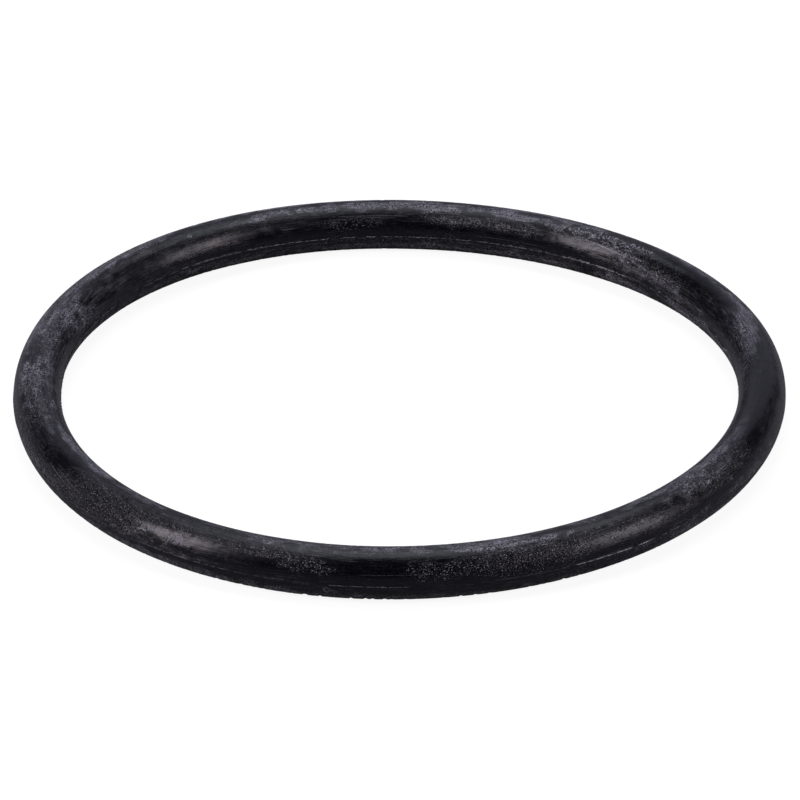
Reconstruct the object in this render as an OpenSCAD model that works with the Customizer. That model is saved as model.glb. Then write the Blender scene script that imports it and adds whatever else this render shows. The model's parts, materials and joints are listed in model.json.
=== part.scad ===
// Rubber o-ring that lies on its side: one endless cord, moulded in one piece.
// The ring's axis is Z and its lower side touches z = 0. Lengths are in millimetres.
// The section is a little taller than wide: a ring that has been in use keeps some of
// the squeeze between its inner and outer walls. The trimmed flash of the mould's
// parting plane runs round both walls a little below half height, as a fin with a flat
// crest.

/* [Ring] */
// Inside diameter of the ring, from cord wall to cord wall
inside_d = 72.64; // [20:0.01:300]

/* [Cord] */
// Width of the cord across the ring, from its inner wall to its outer wall
cord_w = 5.08; // [3:0.01:10]
// Height of the cord along the ring's axis
cord_h = 5.60; // [3:0.01:10]

/* [Parting line] */
// How far the mould's parting plane lies below the middle of the cord
parting_drop = 0.22; // [0:0.01:0.6]
// How far the trimmed flash stands out of the inner wall
flash_in = 0.10; // [0.02:0.01:0.4]
// How far the trimmed flash stands out of the outer wall
flash_out = 0.05; // [0.02:0.01:0.4]
// Thickness of the flash at its flat crest, where it was trimmed
flash_crest_t = 0.14; // [0.05:0.01:0.3]
// Thickness of the flash at its root, just inside the wall
flash_root_t = 0.32; // [0.1:0.01:0.6]
// Depth of the flash's root inside the wall, so that the two are one solid
flash_root_depth = 0.15; // [0.1:0.01:0.5]

/* [Hidden] */

// Sides of the ring seen from above, and of the cord's section
ring_sides = 144;
cord_sides = 48;

rubber_colour = [0.13, 0.13, 0.15];

// Distance from the ring's axis to the middle of the cord
cord_r = (inside_d + cord_w) / 2;
// Half the width of the oval cord where the parting plane cuts it
parting_half_w = cord_w / 2 * sqrt(1 - pow(2 * parting_drop / cord_h, 2));

// The cord's oval section around its own middle
module cord_section() {
    scale([1, cord_h / cord_w])
        circle(d = cord_w, $fn = cord_sides);
}

// The mould's parting plane cut across the cord: a thin band with a flash fin at each end,
// whose roots lie inside the walls and whose flat crests stand out of them
module flash_section() {
    root_x = parting_half_w - flash_root_depth;
    root_y = flash_root_t / 2;
    crest_y = flash_crest_t / 2;
    inner_x = -parting_half_w - flash_in;
    outer_x = parting_half_w + flash_out;
    polygon([
        [inner_x, -crest_y], [-root_x, -root_y], [root_x, -root_y], [outer_x, -crest_y],
        [outer_x, crest_y], [root_x, root_y], [-root_x, root_y], [inner_x, crest_y]
    ]);
}

module o_ring() {
    color(rubber_colour)
        translate([0, 0, cord_h / 2])
            rotate_extrude($fn = ring_sides)
                translate([cord_r, 0])
                    union() {
                        cord_section();
                        translate([0, -parting_drop])
                            flash_section();
                    }
}

o_ring();
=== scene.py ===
# %% [markdown]
# # A used rubber o-ring
# One endless cord of black rubber, moulded in one piece, lies on a pale table. This file builds its
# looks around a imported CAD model, which gives the true sizes. Everything is in metres.
#
# The CAD solid is an exact, clean revolve. A real ring that has been in use is none of that: it is
# slightly out of round, its trimmed moulding flash is torn, and its skin carries a chalky bloom,
# pits and drag lines. So the cord is made again here as one fine surface, inside the CAD box.

# %% Load the CAD model
import json
import math

import bpy
import numpy as np
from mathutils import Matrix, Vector


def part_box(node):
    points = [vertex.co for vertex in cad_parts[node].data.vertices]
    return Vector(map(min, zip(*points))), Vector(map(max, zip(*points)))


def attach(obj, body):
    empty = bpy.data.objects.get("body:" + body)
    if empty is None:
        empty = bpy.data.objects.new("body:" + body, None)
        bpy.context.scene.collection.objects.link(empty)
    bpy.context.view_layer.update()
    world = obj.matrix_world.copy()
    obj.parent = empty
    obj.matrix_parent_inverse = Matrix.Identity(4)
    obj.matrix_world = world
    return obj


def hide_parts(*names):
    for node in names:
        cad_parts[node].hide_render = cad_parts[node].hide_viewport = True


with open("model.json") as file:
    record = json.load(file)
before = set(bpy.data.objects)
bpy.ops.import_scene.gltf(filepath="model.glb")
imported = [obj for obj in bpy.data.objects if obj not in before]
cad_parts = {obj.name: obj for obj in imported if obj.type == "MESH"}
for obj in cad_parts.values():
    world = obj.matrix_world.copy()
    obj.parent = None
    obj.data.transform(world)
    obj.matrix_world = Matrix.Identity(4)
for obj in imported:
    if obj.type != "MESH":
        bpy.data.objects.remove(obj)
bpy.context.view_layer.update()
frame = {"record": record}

# %% [markdown]
# ## Sizes
# The round mounts of the CAD model are the crests of the two flash lines, so they give the ring's
# size. From them come the middle line of the cord and its oval section.

# %% Sizes from the frame
MM = 0.001
FLASH_IN = 0.10 * MM
FLASH_OUT = 0.05 * MM

seats = {mount["name"]: mount for mount in frame["record"]["mounts"]}
bore_r = seats["shaft_seat"]["dims"]["r_mm"] * MM
pin_r = seats["housing_seat"]["dims"]["r_mm"] * MM
parting_z = seats["shaft_seat"]["pos_m"][2]
low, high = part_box("o_ring")

half_h = (high.z - low.z) / 2
parting_drop = half_h - parting_z
inner_wall_r = bore_r + FLASH_IN
outer_wall_r = pin_r - FLASH_OUT
ring_r = (inner_wall_r + outer_wall_r) / 2
half_w = (outer_wall_r - inner_wall_r) / 2 / math.sqrt(1 - (parting_drop / half_h) ** 2)
print(f"ring line {ring_r / MM:.2f} mm, cord {2 * half_w / MM:.2f} by {2 * half_h / MM:.2f} mm")

# %% [markdown]
# ## Two angles instead of x, y and z
# Every point of the cord is named by two angles in degrees. The ring angle runs round the ring:
# 0 is at the viewer's right, 90 at the back, 180 at the left, 270 at the front. The section angle
# runs round the cord: 0 is the outer wall, 90 the top, 180 the inner wall, -90 the table.
#
# A plain grid would spend the same number of points everywhere. The flash is only 0.14 mm thick, so
# the grid's rows crowd together near it and spread out elsewhere.

# %% The grid of angles
STATIONS = 1020
SECTION_POINTS = 96
GRID_SHAPE = (STATIONS, SECTION_POINTS)
FLASH_CROWDING = 9.0
FLASH_SPREAD_DEG = 4.0
FINE_STEPS = 7201

outer_parting_deg = -math.degrees(math.asin(parting_drop / half_h))
inner_parting_deg = 180 - outer_parting_deg


def turn_between(a, b):
    """The angle from b to a in degrees, brought between -180 and 180."""
    return (a - b + 180) % 360 - 180


def crowded_angles(count):
    """Section angles whose spacing shrinks near both flash lines.

    The density of points is 1 plus a bell curve at each flash line. Its running sum is cut into
    equal parts, and each cut is one angle.
    """
    fine = np.linspace(-180, 180, FINE_STEPS)
    density = np.ones_like(fine)
    for line in (outer_parting_deg, inner_parting_deg):
        density += FLASH_CROWDING * np.exp(-(turn_between(fine, line) / FLASH_SPREAD_DEG) ** 2)
    running = np.concatenate([[0], np.cumsum((density[1:] + density[:-1]) / 2)])
    cuts = np.linspace(0, running[-1], count, endpoint=False)
    return np.interp(cuts, running, fine)


ring_deg = np.linspace(0, 360, STATIONS, endpoint=False)[:, None]
section_deg = crowded_angles(SECTION_POINTS)[None, :]
print("grid:", STATIONS, "by", SECTION_POINTS, "points,", 2 * STATIONS * SECTION_POINTS, "triangles")

# %% [markdown]
# ## Unevenness that closes on itself
# Random unevenness on a ring must meet itself after a whole turn, or a seam shows. A sum of cosines
# does that by itself, if each has a whole number of turns both round the ring and round the cord.

# %% Seamless noise
SEED = 31
rng = np.random.default_rng(SEED)


def closed_noise(along, across, waves, lowest=0):
    """A sum of cosines with random whole turns, scaled to an even spread of about 1.

    along and across are the largest numbers of turns round the ring and round the section, and
    lowest is the smallest number round the ring.
    """
    turns_along = rng.integers(lowest, along + 1, waves) * rng.choice([-1, 1], waves)
    turns_across = rng.integers(0, across + 1, waves)
    start = rng.uniform(0, 2 * np.pi, waves)
    total = np.zeros(GRID_SHAPE)
    for m, n, phase in zip(turns_along, turns_across, start):
        total += np.cos(np.radians(m * ring_deg + n * section_deg) + phase)
    return total / math.sqrt(waves / 2)


def smooth_step(x):
    """0 below 0, 1 above 1, and a soft S between."""
    x = np.clip(x, 0, 1)
    return x * x * (3 - 2 * x)


# %% [markdown]
# ## The ring line
# A rubber ring that lies by itself is never quite round. A few low harmonics, each a whole number of
# lobes round the ring, give the lazy shape of this one. Their shares weren't chosen by hand: they
# are a least-squares fit to the ring's outline in the photo, rounded to four places. The middle is
# then moved so that the ring sits evenly about the CAD axis and stays inside the CAD box.

# %% Out-of-round ring line
# lobes: (share of the radius as a cosine, share as a sine)
LOBES = {2: (0.0037, 0.0031), 3: (0.0069, 0.0055), 4: (-0.0035, 0.0009)}


def ring_line(angle):
    """Radius of the cord's middle line: the ring's radius times 1 plus the lobes."""
    share = np.zeros_like(angle)
    for count, (cosine, sine) in LOBES.items():
        share += cosine * np.cos(count * angle) + sine * np.sin(count * angle)
    return ring_r * (1 + share)


around = np.radians(ring_deg)
line_r = ring_line(around)
reach_x = (line_r + half_w) * np.cos(around)
reach_y = (line_r + half_w) * np.sin(around)
centre_x = (reach_x.max() + reach_x.min()) / 2
centre_y = (reach_y.max() + reach_y.min()) / 2
print(f"middle of the outline before centring: {centre_x / MM:.3f}, {centre_y / MM:.3f} mm")

# %% [markdown]
# ## The torn flash
# The two mould halves leave a thin web of rubber where they meet. It is trimmed or torn off, which
# leaves a low ragged fin on the inner and the outer wall. The fin is a bump in the section: a flat
# crest with sloping sides. Along the ring its height comes and goes, in stretches read off the real
# ring, with small teeth where it tore.

# %% Flash height along the ring
# (first ring angle, last ring angle, share of the full height, paleness of the torn crest and its
# painted glint)
OUTER_STRETCHES = [
    (168, 192, 0.95, 0.30), (205, 228, 0.35, 0.08), (228, 246, 0.6, 0.22), (246, 258, 0.5, 0.12),
    (260, 272, 0.75, 0.32), (284, 296, 0.45, 0.15), (296.5, 306.6, 1.0, 1.0),
    (307.2, 310.6, 1.0, 1.0), (311.8, 313.0, 0.9, 0.8), (314.5, 316, 0.6, 0.5),
    (330, 356, 0.5, 0.2),
]
INNER_STRETCHES = [
    (14, 41, 0.9, 0.25), (44, 60, 0.6, 0.55), (60, 76, 0.45, 0.35), (76, 93, 0.8, 0.35),
    (93.6, 96, 0.8, 0.9), (97, 101, 0.8, 0.5), (101.5, 118, 0.8, 0.45), (118, 131, 0.7, 0.35),
    (131, 140, 0.4, 0.2), (147, 190, 0.9, 0.35), (200, 250, 0.6, 0.3), (262, 330, 0.7, 0.3),
    (338, 352, 0.5, 0.3),
]
HEIGHT_COLUMN = 2
PALENESS_COLUMN = 3
BARE_SHARE = 0.12
FADE_DEG = 0.8
TEETH = 420
PALE_TEETH = 300
SHORTEST_TOOTH = 0.55


def stretch_values(stretches, column, bare):
    """One column of the stretches round the ring. Each rises and falls over FADE_DEG; the rest is bare."""
    share = np.full_like(ring_deg, bare)
    for stretch in stretches:
        rise = smooth_step((ring_deg - stretch[0]) / FADE_DEG)
        fall = smooth_step((stretch[1] - ring_deg) / FADE_DEG)
        share = np.maximum(share, stretch[column] * np.minimum(rise, fall))
    return share


def torn(count):
    """Small teeth along the ring: random heights up to 1, joined by straight lines."""
    knots = rng.uniform(SHORTEST_TOOTH, 1.0, count)
    return np.interp(ring_deg * count / 360, np.arange(count + 1), np.append(knots, knots[0]))


outer_height = FLASH_OUT * stretch_values(OUTER_STRETCHES, HEIGHT_COLUMN, BARE_SHARE) * torn(TEETH)
inner_height = FLASH_IN * stretch_values(INNER_STRETCHES, HEIGHT_COLUMN, BARE_SHARE) * torn(TEETH)
outer_pale = stretch_values(OUTER_STRETCHES, PALENESS_COLUMN, 0.0) * torn(PALE_TEETH)
inner_pale = stretch_values(INNER_STRETCHES, PALENESS_COLUMN, 0.0) * torn(PALE_TEETH)
print(f"flash at most {outer_height.max() / MM:.3f} mm outside and {inner_height.max() / MM:.3f} mm inside")

# %% [markdown]
# ## The flash across the cord
# Two profiles are needed at each flash line: one for the shape of the fin, and a narrower one for the
# pale torn rubber, which shows only in the middle of the crest. That paleness is partly a painted
# glint, light catching the thin fin put into the colour.

# %% Flash across the section
FLASH_CREST = 0.05 * MM
FLASH_ROOT = 0.15 * MM


def off_flash(line_deg):
    """Distance along the section from a flash line, in metres."""
    return np.abs(half_h * np.radians(turn_between(section_deg, line_deg)))


def flash_profile(line_deg):
    """1 on the flat crest of a flash line, falling in a straight slope to 0 at its root."""
    return np.clip((FLASH_ROOT - off_flash(line_deg)) / (FLASH_ROOT - FLASH_CREST), 0, 1)


def flash_line(line_deg):
    """1 on the middle half of a flash crest, falling evenly to 0 at the crest's edges."""
    return np.clip(2 * (1 - off_flash(line_deg) / FLASH_CREST), 0, 1)


outer_flash = flash_profile(outer_parting_deg)
inner_flash = flash_profile(inner_parting_deg)
# painted glint: the pale crest is partly torn rubber and partly light catching the fin, painted in
torn_and_glint_outside = flash_line(outer_parting_deg) * outer_pale
torn_and_glint_inside = flash_line(inner_parting_deg) * inner_pale
torn_and_glinting_crest = np.maximum(torn_and_glint_outside, torn_and_glint_inside)
print("section points on the flash:", np.count_nonzero(outer_flash + inner_flash))

# %% [markdown]
# ## Marks on the skin
# The skin isn't the same all over. Each kind of mark is a mask: a number from 0 to 1 at every grid
# point. A mark is an oval given by its place and size in the two angles, and noise pushes its edge in
# and out, so that no oval can be seen. Painting the masks by hand would be quicker, but ovals can be
# read, moved and changed one by one. The masks become attributes of the mesh for the material.

# %% Marks as masks
BROAD_EDGE = 0.6
FINE_EDGE = 0.5
# raggedness that the edge of a mark keeps when its feather is 0
SHARP_EDGE_SHARE = 0.3

edge_noise = BROAD_EDGE * closed_noise(along=34, across=5, waves=60)
edge_noise = edge_noise + FINE_EDGE * closed_noise(along=110, across=14, waves=110, lowest=20)
skin_marks = {}


def left_clear(raggedness, at_ring, at_section, half_length, half_width, strength, feather, slant=0.0):
    """What one mark leaves clear: 1 outside it, and 1 less its strength in its middle.

    The distance from its middle is 1 at its edge. Noise times raggedness is added to that, and the
    strength fades out over the feather. The slant leans the oval along the ring.
    """
    up = turn_between(section_deg, at_section)
    on = turn_between(ring_deg, at_ring) - slant * up
    distance = np.sqrt((on / half_length) ** 2 + (up / half_width) ** 2)
    ragged = raggedness * edge_noise * min(1.0, feather + SHARP_EDGE_SHARE)
    inside = smooth_step((1 + feather / 2 - distance + ragged) / feather)
    return 1 - strength * inside


def make_marks(name, spots, raggedness):
    """Keeps the mask of one kind of mark: 1 less the product of what each spot leaves clear.

    So marks lie over each other like films. A spot is (ring angle, section angle, half length, half
    width, strength, feather), and a seventh number is its slant.
    """
    clear = np.ones(GRID_SHAPE)
    for spot in spots:
        clear *= left_clear(raggedness, *spot)
    skin_marks[name] = 1 - clear
    print(f"{name}: {len(spots)} marks, {skin_marks[name].mean():.2f} on average")


# %% [markdown]
# ## Chalky bloom and painted sheen
# Wax and sulphur come out of old rubber and lie on it as a pale film. Here it is strongest along the
# top of the far side, at the far right and the near left, and low on the far inner wall. Part of this
# mask is painted light: pale film on the four lamp highlights is painted highlight, and pale film on
# the lower walls, where they mirror the table, is painted reflection.

# %% Bloom marks and painted sheen
# painted highlights: the rows at (232, 29), (238, 38), (54, 141), (48, 134), (121.5, 146) and (306, 36) lie
# on the lamp highlights. Painted reflection: the rows with section angles below -10, and those above 195,
# lie on the lower walls.
BLOOM_AND_SHEEN_SPOTS = [
    (88, 102, 26, 16, 0.62, 0.7), (75.5, 108, 5, 9, 0.45, 0.7, 0.25), (118.5, 113, 4, 6, 0.35, 0.6),
    (52, 112, 11, 15, 0.80, 0.2, 0.22), (54, 141, 8, 11, 0.65, 0.7), (48, 134, 5, 5, 0.5, 0.6),
    (42, 158, 9, 9, 0.40, 0.7, 0.2), (16, 100, 8, 12, 0.25, 0.8), (36, 202, 12, 10, 0.22, 0.8),
    (52, 210, 16, 9, 0.22, 0.8), (231, 2, 8, 9, 0.20, 0.8), (290, 62, 9, 7, 0.25, 0.7),
    (303, 22, 9, 9, 0.22, 0.8), (306, -38, 10, 10, 0.25, 0.8), (334, 108, 9, 9, 0.20, 0.8),
    (39, 150, 8, 10, 0.35, 0.5, 0.15), (63, 84, 10, 12, 0.75, 0.7), (149, 80, 20, 12, 0.65, 0.8),
    (110, 77, 14, 8, 0.65, 0.7), (14, 104, 8, 11, 0.45, 0.8), (176, 124, 14, 11, 0.28, 0.8),
    (324, 105, 12, 9, 0.30, 0.8), (33, 75, 10, 7, 0.3, 0.8), (68, 90, 14, 9, 0.35, 0.8),
    (160, 62, 14, 14, 0.3, 0.8), (24, 85, 12, 10, 0.42, 0.9), (7, 134, 11, 18, 0.16, 0.9),
    (14, 122, 8, 12, 0.22, 0.9), (140, 133, 11, 26, 0.26, 0.9), (154, 118, 9, 14, 0.26, 0.9),
    (152, 139, 7, 11, 0.30, 0.9), (165, 140, 7, 14, 0.28, 0.9), (38, 170, 12, 10, 0.38, 0.8),
    (334, 2, 10, 11, 0.34, 0.9), (200, 2, 9, 9, 0.22, 0.9), (258, -44, 20, 9, 0.28, 0.8),
    (238, 4, 8, 9, 0.22, 0.9), (350, 54, 10, 12, 0.36, 0.9), (183, 44, 8, 8, 0.3, 0.8),
    (172, 72, 10, 10, 0.25, 0.8), (200, 50, 9, 20, 0.26, 0.9), (112, 80, 10, 6, 0.5, 0.8),
    (278, 90, 12, 7, 0.35, 0.8), (168, 58, 10, 13, 0.45, 0.8), (22, 199, 17, 15, 0.5, 0.8),
    (232, 20, 6, 9, 0.25, 0.8), (90, 67, 62, 10, 0.45, 0.7), (33, 163, 9, 4, 0.45, 0.5, 0.4),
    (76, 141, 9, 8, 0.34, 0.5), (121.5, 146, 6, 8, 0.25, 0.7, -0.1), (100, 148, 5, 8, 0.15, 0.6),
    (19, 82, 10, 13, 0.50, 0.8), (166, 98, 14, 22, 0.40, 0.7), (157, 158, 6, 16, 0.35, 0.6),
    (159, 88, 3, 4, 0.6, 0.5), (136, 88, 6, 12, 0.35, 0.7), (190, 88, 9, 16, 0.40, 0.6),
    (186, 60, 7, 9, 0.4, 0.5), (191.5, 124, 1.6, 6, 0.9, 0.4, -0.15), (184, 118, 8, 14, 0.3, 0.7),
    (209, 112, 14, 12, 0.80, 0.6), (219, 102, 11, 9, 0.50, 0.7), (270, 98, 34, 11, 0.50, 0.8),
    (214, 6, 13, 10, 0.10, 0.7), (232, 29, 6, 10, 0.40, 0.9), (238, 38, 7, 9, 0.48, 0.8),
    (257, 79, 13, 12, 0.25, 0.6), (284, 79, 14, 11, 0.52, 0.4), (287, 71, 9, 4, 0.65, 0.35),
    (300, 104, 11, 8, 0.15, 0.7), (306, 36, 8, 9, 0.35, 0.9, 0.1), (321, 95, 12, 15, 0.50, 0.6),
    (323, 62, 9, 12, 0.5, 0.6), (336, 98, 10, 14, 0.38, 0.8), (345, 30, 9, 16, 0.12, 0.8),
    (312, -12, 10, 8, 0.32, 0.7), (325, -30, 11, 12, 0.46, 0.8), (234, -36, 16, 14, 0.55, 0.8),
    (272, -44, 28, 10, 0.50, 0.8), (84, 216, 44, 10, 0.55, 0.8), (58, 204, 20, 13, 0.15, 0.8),
    (128, 205, 20, 12, 0.30, 0.8),
]
make_marks("bloom_and_sheen", BLOOM_AND_SHEEN_SPOTS, raggedness=0.35)

# %% [markdown]
# ## Pitted, scuffed and rippled skin
# Pitted rubber sparkles, because some side of each grain faces a lamp; the grain mask also sets the
# painted glints, pale dots in the colour that stand for that sparkle. Scuffed rubber has its bloom in
# short curved strokes. Ripples are short rows of fine waves across the cord.

# %% Grain, scuff and ripple marks
GRAIN_SPOTS = [
    (288, 28, 12, 32, 0.95, 0.5), (250, 54, 9, 13, 0.9, 0.5), (257, 32, 4, 15, 0.95, 0.5),
    (222, 45, 12, 30, 0.7, 0.6), (327, 60, 12, 36, 0.85, 0.5), (189, 78, 10, 30, 0.8, 0.6),
    (288, 72, 12, 8, 0.8, 0.5), (167, 100, 16, 26, 0.8, 0.6), (159, 158, 6, 18, 0.7, 0.6),
    (76, 141, 11, 14, 0.9, 0.5), (46, 132, 15, 24, 0.85, 0.5, 0.15), (98, 150, 6, 12, 0.6, 0.6),
    (11, 118, 10, 24, 0.5, 0.6), (303, 45, 10, 22, 0.6, 0.6), (222, 18, 10, 14, 0.7, 0.6),
    (100, 104, 20, 16, 0.3, 0.6), (214, 8, 14, 20, 1.0, 0.6), (84, 210, 56, 22, 0.55, 0.7),
    (90, 66, 64, 12, 0.6, 0.6), (245, -38, 36, 16, 0.6, 0.6), (250, -52, 16, 16, 0.9, 0.6),
    (320, -20, 30, 22, 0.5, 0.6), (196, 5, 12, 20, 0.8, 0.6),
]
SCUFF_SPOTS = [
    (52, 110, 10, 16, 1.0, 0.3, 0.22), (38, 138, 9, 18, 0.8, 0.4, 0.15),
    (163, 82, 10, 16, 0.4, 0.5), (189, 84, 9, 22, 0.3, 0.5), (323, 72, 10, 26, 0.3, 0.4),
    (252, 64, 7, 8, 0.4, 0.5),
]
RIPPLE_SPOTS = [
    (330.5, 104, 2.4, 5, 1.0, 0.5, 0.1), (333.5, 92, 2.4, 4, 0.9, 0.5, 0.1),
    (344, 25, 3, 12, 0.3, 0.6), (152, 118, 3, 8, 0.5, 0.6),
]
make_marks("grain", GRAIN_SPOTS, raggedness=0.3)
make_marks("scuff", SCUFF_SPOTS, raggedness=0.3)
make_marks("ripple", RIPPLE_SPOTS, raggedness=0.2)

# %% [markdown]
# ## Rubbed, satin and wrinkled skin
# Where the ring was rubbed it is clean and black. A satin place has an even sheen without speckle or
# drag lines. A wrinkled one is lumpy like leather. All three lie over the marks above.

# %% Clean, even and wrinkle marks
CLEAN_SPOTS = [
    (265, 25, 14, 26, 0.9, 0.8), (88, 166, 34, 16, 0.9, 0.6), (32, 107, 12, 24, 0.9, 0.2, 0.22),
    (36, 105, 8, 9, 0.5, 0.6, 0.22), (53, 180, 7, 8, 0.35, 0.8), (6, 104, 8, 10, 0.25, 0.9),
    (216, 28, 8, 9, 0.35, 0.9), (141, 138, 12, 30, 0.15, 0.8), (284, 24, 14, 24, 0.9, 0.8),
    (207, 46, 15, 28, 0.60, 1.4), (350, 62, 14, 24, 0.6, 0.8), (272, 46, 12, 14, 0.8, 0.6),
    (66, 90, 3, 9, 0.9, 0.5), (310, 85, 5, 10, 0.5, 0.7), (64, 126, 12, 5, 0.6, 0.6, -0.3),
    (226, 66, 10, 10, 0.4, 0.9), (150, 60, 12, 16, 0.3, 0.9),
]
EVEN_SPOTS = [
    (348, 72, 13, 60, 0.95, 0.6), (206, 62, 9, 36, 0.75, 0.8), (32, 112, 12, 30, 0.7, 0.4, 0.22),
    (142, 135, 11, 32, 0.75, 0.7), (56, 142, 8, 12, 0.92, 0.6),
    (120, 147, 6.5, 11, 0.92, 0.6, -0.1), (5, 78, 9, 28, 0.6, 0.7), (305, 76, 8, 9, 0.5, 0.6),
    (238, 37, 10, 10, 0.88, 0.6), (305, 34, 7, 9, 0.62, 0.6),
]
WRINKLE_SPOTS = [
    (219, 32, 15, 34, 1.0, 0.6, -0.2), (160, 158, 8, 20, 0.8, 0.6), (190, 78, 9, 28, 0.5, 0.6),
    (326, 64, 11, 26, 0.5, 0.6), (72, 142, 9, 13, 0.6, 0.6), (46, 134, 13, 20, 0.5, 0.5, 0.15),
    (232, 58, 8, 10, 0.5, 0.6),
]
make_marks("clean", CLEAN_SPOTS, raggedness=0.25)
make_marks("even", EVEN_SPOTS, raggedness=0.2)
make_marks("wrinkle", WRINKLE_SPOTS, raggedness=0.3)

# %% [markdown]
# ## Wear that has depth
# Waviness, pits and nicks make the highlights break up. A ragged outline needs more: the cord is
# round, so a pit that is short across the cord hides behind its own rim. The notches are therefore
# long across the cord and short along the ring, and lie where the outline runs, low on the outer wall
# and on the inner wall. All of it only ever takes rubber away, so the ring can't grow out of its box.

# %% Depth of the wear
WAVINESS = 0.012 * MM
PITTING = 0.014 * MM
NICK_DEPTH = 0.085 * MM
NOTCH_DEPTH = 0.13 * MM
# shares of the pits and of the nicks that are there without grain
PITS_ANYWHERE = 0.15
NICKS_ANYWHERE = 0.45
# noise level where a nick or a notch starts, and the rise from there to its full depth
NICK_START = 0.9
NICK_RISE = 1.0
NOTCH_START = 0.8
NOTCH_RISE = 0.9
# zones of the notches: (middle section angle, half width)
NOTCH_ZONES = [(208, 48), (-48, 34)]
ZONE_STEEPNESS = 1.4
SPARED_BY_SATIN = 0.8
# noise level where waves and pits start, and the span from there to their full depth
WAVE_START = -1.5
PIT_START = -1
WEAR_SPAN = 3


def share_above(noise, lowest):
    """0 where the noise is below lowest, rising evenly to 1 at WEAR_SPAN above it."""
    return np.clip(noise - lowest, 0, WEAR_SPAN) / WEAR_SPAN


def notch_zone(middle, half_width):
    """1 at the middle of a zone of the section, falling softly to 0 at its edges."""
    return smooth_step(ZONE_STEEPNESS * (1 - np.abs(turn_between(section_deg, middle)) / half_width))


wave = closed_noise(along=26, across=3, waves=40)
pits = closed_noise(along=330, across=30, waves=160, lowest=60)
nicks = closed_noise(along=440, across=30, waves=160, lowest=110)
notches = closed_noise(along=420, across=5, waves=120, lowest=110)

grain = skin_marks["grain"]
rough_skin = 1 - SPARED_BY_SATIN * skin_marks["even"]
worn = WAVINESS * share_above(wave, WAVE_START)
worn = worn + PITTING * (PITS_ANYWHERE + grain) * share_above(pits, PIT_START)
nick_share = NICKS_ANYWHERE + (1 - NICKS_ANYWHERE) * grain
worn = worn + NICK_DEPTH * smooth_step((nicks - NICK_START) / NICK_RISE) * nick_share
worn = worn * rough_skin * (1 - outer_flash) * (1 - inner_flash)
notches = smooth_step((notches - NOTCH_START) / NOTCH_RISE)
notches = notches * sum(notch_zone(*zone) for zone in NOTCH_ZONES) * rough_skin
worn = worn + NOTCH_DEPTH * notches
print(f"wear: {worn.mean() / MM:.3f} mm deep on average, {worn.max() / MM:.3f} mm at most")

# %% [markdown]
# ## The cord as one surface
# Each grid point is the middle line's point plus the oval section, turned to stand across the ring.
# The wear makes the oval smaller, and the flash pushes the wall outwards, except in a notch.

# %% Points of the cord
across = np.radians(section_deg)
section_w = half_w - worn
section_h = half_h - worn
flash_push = (outer_flash * outer_height - inner_flash * inner_height) * (1 - notches)
radius = line_r + section_w * np.cos(across) + flash_push
x = radius * np.cos(around) - centre_x
y = radius * np.sin(around) - centre_y
z = half_h + section_h * np.sin(across)

room = min(high.x, -low.x, high.y, -low.y)
shrink = min(1.0, room / max(np.abs(x).max(), np.abs(y).max()))
z = z - z.min()
points = np.stack([x * shrink, y * shrink, z], axis=-1)
print(f"drawn in by {100 * (1 - shrink):.3f} % to stay in the box; top at {z.max() / MM:.3f} mm")

# %% [markdown]
# ## From grid to mesh
# The grid is closed in both directions: the last station joins the first, and the last section point
# joins the first. Each quad takes its corners in an order that makes its normal point outwards.

# %% Mesh of the cord
def closed_quads(rows, columns):
    """Corner numbers of all quads of a grid that closes in both directions."""
    row = np.arange(rows)[:, None]
    column = np.arange(columns)[None, :]
    next_row = (row + 1) % rows
    next_column = (column + 1) % columns
    corners = [row * columns + column, next_row * columns + column,
               next_row * columns + next_column, row * columns + next_column]
    return np.stack(corners, axis=-1).reshape(-1, 4)


def mesh_from(name, vertices, quads):
    """A mesh object from whole arrays of points and quads, shaded smooth."""
    mesh = bpy.data.meshes.new(name)
    mesh.vertices.add(len(vertices))
    mesh.vertices.foreach_set("co", vertices.astype(np.float32).ravel())
    mesh.loops.add(quads.size)
    mesh.loops.foreach_set("vertex_index", quads.astype(np.int32).ravel())
    mesh.polygons.add(len(quads))
    mesh.polygons.foreach_set("loop_start", np.arange(0, quads.size, 4, dtype=np.int32))
    mesh.polygons.foreach_set("use_smooth", np.ones(len(quads), dtype=bool))
    mesh.update(calc_edges=True)
    mesh.validate()
    made = bpy.data.objects.new(name, mesh)
    bpy.context.scene.collection.objects.link(made)
    print(f"{name}: {len(mesh.vertices)} points, {len(mesh.polygons)} quads")
    return made


cord = mesh_from("rubber_cord", points.reshape(-1, 3), closed_quads(STATIONS, SECTION_POINTS))
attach(cord, "root")
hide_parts("o_ring")

# %% [markdown]
# ## What the material can read
# The marks go onto the mesh as one number per point. The two angles go on as points of a circle,
# because an angle itself jumps from 360 back to 0 and would draw a seam there.

# %% Values on the mesh
def keep_value(piece, name, values):
    """Stores one number per point on the mesh, for the material to read."""
    layer = piece.data.attributes.new(name, "FLOAT", "POINT")
    layer.data.foreach_set("value", np.broadcast_to(values, GRID_SHAPE).astype(np.float32).ravel())


def keep_circle(piece, name, angle):
    """Stores an angle as the point that it has on a circle: its cosine and its sine."""
    turned = np.broadcast_to(angle, GRID_SHAPE)
    spots = np.stack([np.cos(turned), np.sin(turned), np.zeros_like(turned)], axis=-1)
    layer = piece.data.attributes.new(name, "FLOAT_VECTOR", "POINT")
    layer.data.foreach_set("vector", spots.astype(np.float32).ravel())


keep_circle(cord, "ring_circle", around)
keep_circle(cord, "section_circle", across)
# the flash value is the pale torn crest, partly a painted glint
skin_marks["flash"] = torn_and_glinting_crest
for name, values in skin_marks.items():
    keep_value(cord, name, values)
print("kept on the cord:", ", ".join(skin_marks))

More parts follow.
